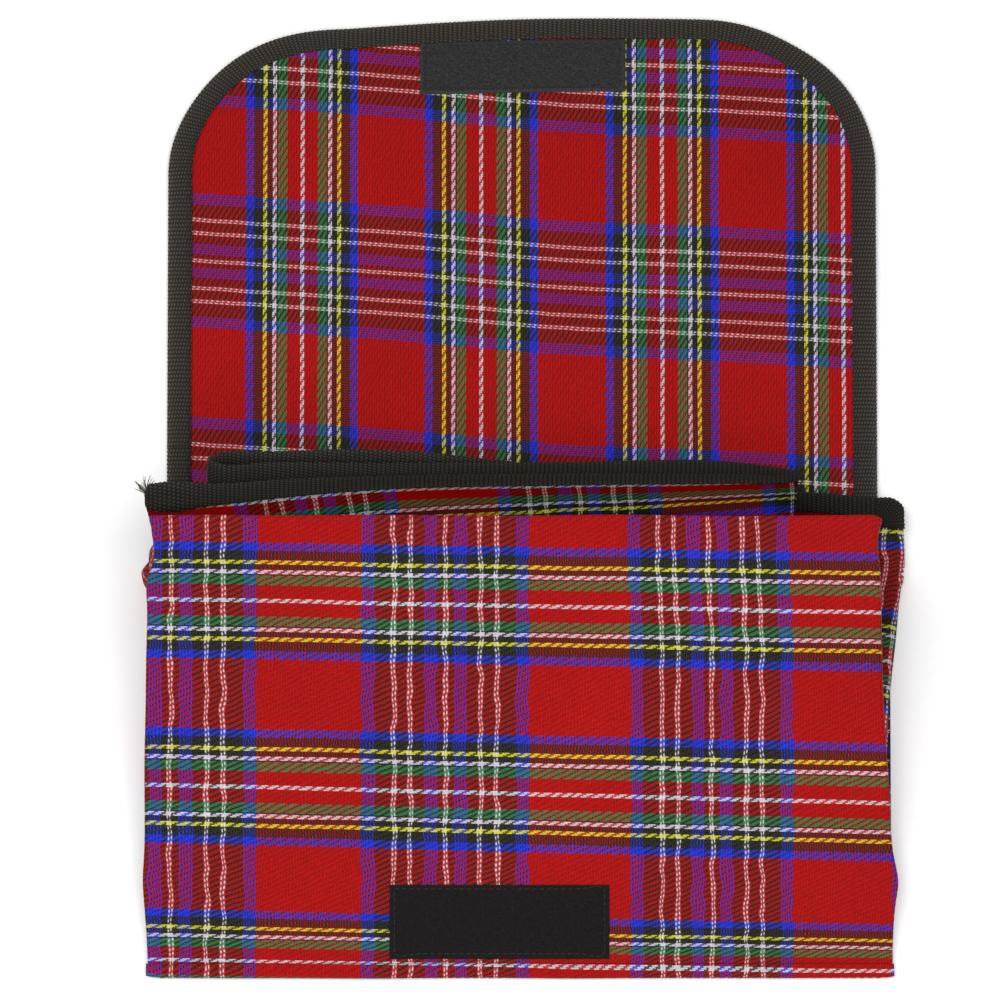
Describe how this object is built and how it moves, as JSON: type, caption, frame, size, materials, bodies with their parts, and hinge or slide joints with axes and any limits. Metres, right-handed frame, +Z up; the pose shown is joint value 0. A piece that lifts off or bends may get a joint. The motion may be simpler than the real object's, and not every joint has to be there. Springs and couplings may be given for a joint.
{
  "type": "tartan flap pouch",
  "caption": "Flat cloth pouch in red tartan with a taped, pleated mouth and a wide round-cornered flap that closes over the front with hook-and-loop strips.",
  "frame": {"origin": "middle of the open pouch's outline, on the surface that its back lies on", "axes": "+Z up out of the surface, +Y from the bottom seam towards the flap's far edge, +X to the right seen from the bottom seam"},
  "size_m": [0.3192, 0.458, 0.06],
  "materials": {
    "tartan": "matte",
    "webbing": "matte",
    "hook_tape": "matte",
    "loop_tape": "matte",
    "black_thread": "satin",
    "red_thread": "satin"
  },
  "bodies": {
    "pocket": {"back_panel": "tartan", "bottom_seam": "tartan", "bottom_seam_stitching": "red_thread", "left_gusset": "tartan", "right_gusset": "tartan", "front_pleat": "tartan", "middle_pleat": "tartan", "back_pleat": "tartan", "mouth_binding": "webbing", "corner_binding": "webbing", "tape_end_threads": "webbing"},
    "front": {"front_panel": "tartan", "hook_strip": "hook_tape", "hook_strip_stitching": "black_thread", "left_seam_stitching": "red_thread", "right_seam_stitching": "red_thread"},
    "spine": {"flap_spine": "tartan", "spine_binding_left": "webbing", "spine_binding_right": "webbing"},
    "flap": {"flap_panel": "tartan", "flap_binding": "webbing", "flap_binding_stitching": "black_thread", "loop_strip": "loop_tape", "loop_strip_stitching": "black_thread"}
  },
  "joints": [
    {"name": "flap_fold", "type": "hinge", "parent": "pocket", "child": "spine", "pos_m": [0, 0.003, 0.0014], "axis": [1, 0, 0], "range_deg": [0, 140]},
    {"name": "flap_bend", "type": "hinge", "parent": "spine", "child": "flap", "pos_m": [0, 0.043, 0.0014], "axis": [1, 0, 0], "range_deg": [0, 44]},
    {"name": "front_press", "type": "hinge", "parent": "pocket", "child": "front", "pos_m": [0, -0.2224, 0.0026], "axis": [1, 0, 0], "range_deg": [-14, 0], "deforming": ["left_gusset", "right_gusset", "front_pleat", "middle_pleat", "back_pleat", "mouth_binding", "corner_binding", "tape_end_threads"]}
  ],
  "couplings": [
    {"joint": "front_press", "follows": "flap_fold", "ratio": -0.1}
  ]
}
